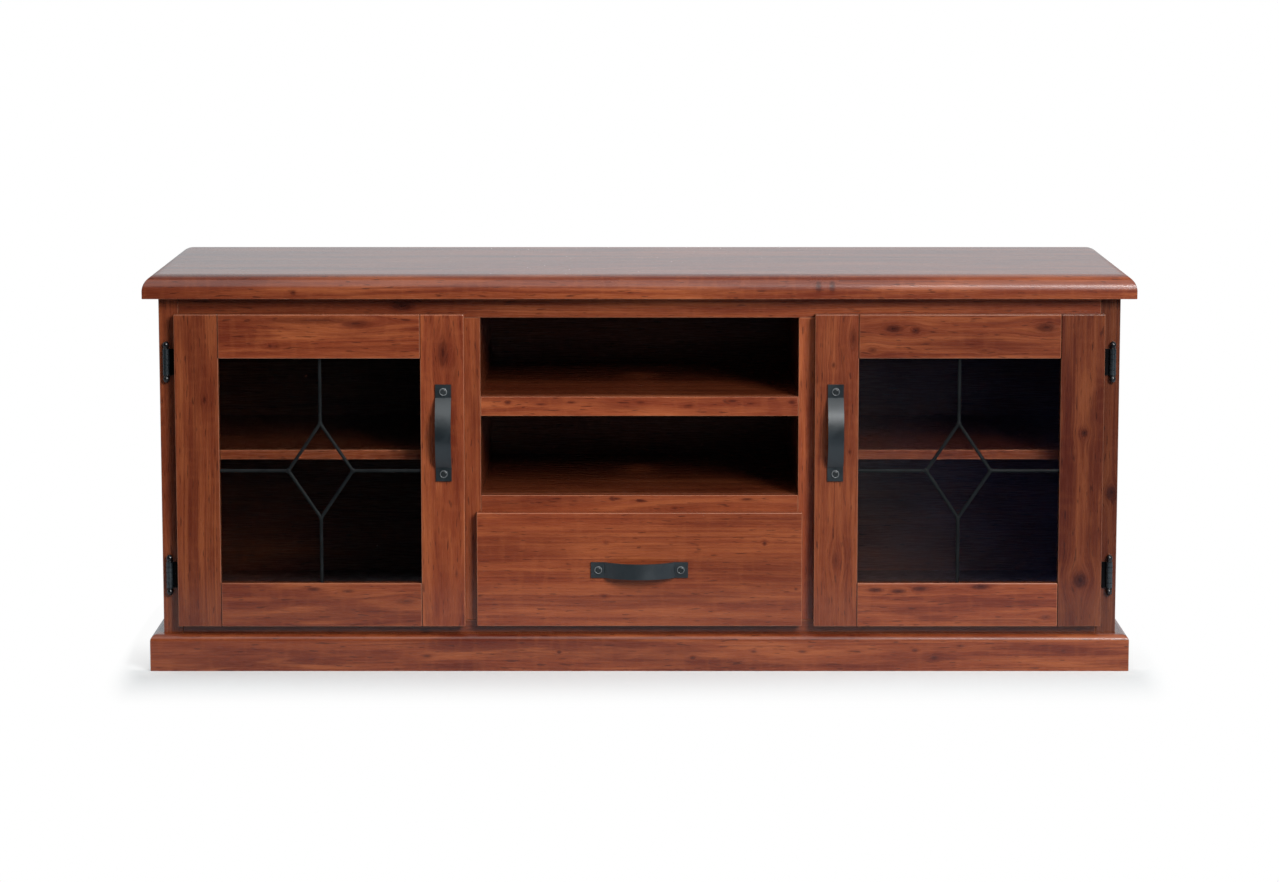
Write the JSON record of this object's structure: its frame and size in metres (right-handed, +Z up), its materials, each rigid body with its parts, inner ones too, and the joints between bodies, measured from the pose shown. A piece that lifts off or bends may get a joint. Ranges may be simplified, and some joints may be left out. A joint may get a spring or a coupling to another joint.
{
  "type": "tv unit",
  "caption": "Low stained-pine TV unit with leadlight glass doors either side of open bays over a drawer, a rounded top, a mitred plinth and dark bow pulls.",
  "frame": {"origin": "on the floor, at the middle of the overall width and of the overall depth with the pulls", "axes": "+X to the right as seen from the front, +Y from the front to the back, +Z up"},
  "size_m": [1.53, 0.5028, 0.62],
  "materials": {
    "pine": "satin red-brown stain and lacquer over knotty pine",
    "pine_shade": "the same stain, on sides, inner boards and beads",
    "ply": "stained thin board",
    "iron": "dark blue-grey iron with a satin sheen",
    "lead": "dull grey lead strip",
    "glass": "clear, polished",
    "catch_plastic": "dark brown, matte"
  },
  "bodies": {
    "carcass": {"top_panel": "pine", "face_mullion_left": "pine", "face_mullion_right": "pine", "face_top_rail": "pine", "face_shelf_rail_upper": "pine", "face_shelf_rail_lower": "pine", "inner_shelf_left": "pine", "inner_shelf_right": "pine", "plinth_front": "pine", "side_panel_left": "pine_shade", "side_panel_right": "pine_shade", "partition_left": "pine_shade", "partition_right": "pine_shade", "face_stile_left": "pine_shade", "face_stile_right": "pine_shade", "face_bottom_rail": "pine_shade", "av_shelf_upper": "pine_shade", "av_shelf_lower": "pine_shade", "cabinet_floor": "pine_shade", "plinth_left": "pine_shade", "plinth_right": "pine_shade", "drawer_runner_left": "pine_shade", "drawer_runner_right": "pine_shade", "back_panel": "ply", "catch_left": "catch_plastic", "catch_right": "catch_plastic", "hinge_lower_frame_leaf_left": "iron", "hinge_lower_pin_left": "iron", "hinge_upper_frame_leaf_left": "iron", "hinge_upper_pin_left": "iron", "hinge_lower_frame_leaf_right": "iron", "hinge_lower_pin_right": "iron", "hinge_upper_frame_leaf_right": "iron", "hinge_upper_pin_right": "iron"},
    "left_door": {"left_door_hinge_stile": "pine", "left_door_handle_stile": "pine", "left_door_top_rail": "pine", "left_door_bottom_rail": "pine", "left_door_glass": "glass", "left_door_bead": "pine_shade", "left_door_lead_came": "lead", "left_door_handle": "iron", "hinge_lower_door_leaf_left": "iron", "hinge_upper_door_leaf_left": "iron"},
    "right_door": {"right_door_hinge_stile": "pine", "right_door_handle_stile": "pine", "right_door_top_rail": "pine", "right_door_bottom_rail": "pine", "right_door_glass": "glass", "right_door_bead": "pine_shade", "right_door_lead_came": "lead", "right_door_handle": "iron", "hinge_lower_door_leaf_right": "iron", "hinge_upper_door_leaf_right": "iron"},
    "drawer": {"drawer_front": "pine", "drawer_side_left": "ply", "drawer_side_right": "ply", "drawer_back": "ply", "drawer_bottom": "ply", "drawer_handle": "iron"}
  },
  "joints": [
    {"name": "left_door_hinge", "type": "hinge", "parent": "carcass", "child": "left_door", "pos_m": [-0.7312, -0.2091, 0.31525], "axis": [0, 0, -1], "range_deg": [0, 170]},
    {"name": "right_door_hinge", "type": "hinge", "parent": "carcass", "child": "right_door", "pos_m": [0.7312, -0.2091, 0.31525], "axis": [0, 0, 1], "range_deg": [0, 170]},
    {"name": "drawer_slide", "type": "slide", "parent": "carcass", "child": "drawer", "axis": [0, -1, 0], "range_m": [0, 0.3]}
  ]
}
